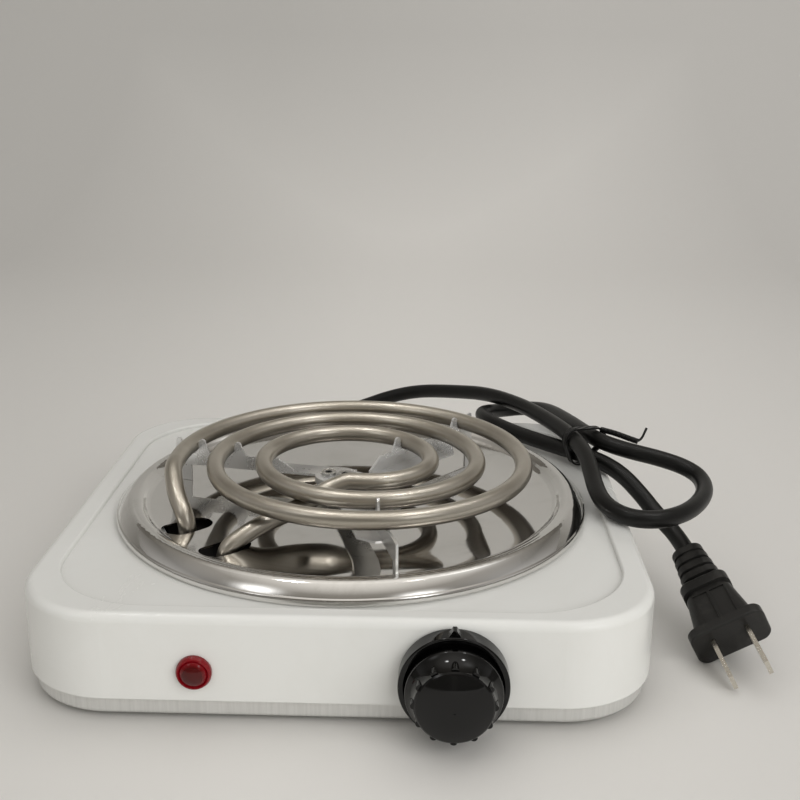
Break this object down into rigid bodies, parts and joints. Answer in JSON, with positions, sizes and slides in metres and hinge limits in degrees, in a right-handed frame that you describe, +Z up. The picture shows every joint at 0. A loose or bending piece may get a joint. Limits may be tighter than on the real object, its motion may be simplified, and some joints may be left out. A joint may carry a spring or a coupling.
{
  "type": "hot plate",
  "caption": "Low square enamelled hot plate with a spiral heating tube over a chromed drip pan, a turning control knob, an indicator lamp and a mains lead with plug.",
  "frame": {"origin": "on the table, under the middle of the box round the appliance without its lead", "axes": "+Z up, -Y towards the knob at the front, +X to the right seen from the front"},
  "size_m": [0.2549, 0.282, 0.0579],
  "materials": {
    "white_enamel": "gloss enamel",
    "galvanised": "galvanised sheet",
    "chrome": "mirror",
    "heater_sheath": "satin",
    "plated_steel": "bright zinc",
    "ceramic": "matt",
    "black_gloss": "gloss",
    "red_lens": "clear tinted",
    "lamp_glass": "clear",
    "black_pvc": "satin",
    "black_rubber": "matt",
    "brass": "bright",
    "nylon": "matt",
    "tie_plastic": "satin",
    "wire_sleeve": "woven sleeve"
  },
  "bodies": {
    "housing": {"base_screws": "plated_steel", "base_tray": "galvanised", "body_shell": "white_enamel", "coil_end_seals": "ceramic", "coil_terminal_pins": "plated_steel", "cord_clamp": "nylon", "cord_clamp_screws": "plated_steel", "cord_gland": "black_pvc", "corner_brackets": "galvanised", "crossbar": "galvanised", "crossbar_screws": "plated_steel", "drip_pan": "chrome", "heat_shield": "galvanised", "heating_coil": "heater_sheath", "indicator_lamp": "lamp_glass", "indicator_lens": "red_lens", "inner_lead": "black_pvc", "lamp_push_nut": "plated_steel", "lead_cores": "brass", "pan_nut": "plated_steel", "pan_screw": "plated_steel", "pan_spacer": "galvanised", "plug_blades": "brass", "plug_body": "black_pvc", "power_cord": "black_pvc", "rubber_feet": "black_rubber", "spider_arm_front": "galvanised", "spider_arm_left": "galvanised", "spider_arm_right": "galvanised", "spider_rivets": "plated_steel", "terminal_block": "ceramic", "terminal_block_screws": "plated_steel", "thermostat_body": "ceramic", "thermostat_bush": "brass", "thermostat_leaves": "brass", "thermostat_plate": "galvanised", "thermostat_screws": "plated_steel", "thermostat_terminals": "brass", "twist_tie": "tie_plastic", "wire_heater": "wire_sleeve", "wire_live": "wire_sleeve", "wire_neutral": "wire_sleeve"},
    "knob": {"control_knob": "black_gloss", "thermostat_shaft": "plated_steel", "knob_spring_clip": "plated_steel"}
  },
  "joints": [
    {"name": "knob_turn", "type": "hinge", "parent": "housing", "child": "knob", "pos_m": [0.0382, -0.08975, 0.0188], "axis": [0, 1, 0], "range_deg": [0, 270]}
  ]
}
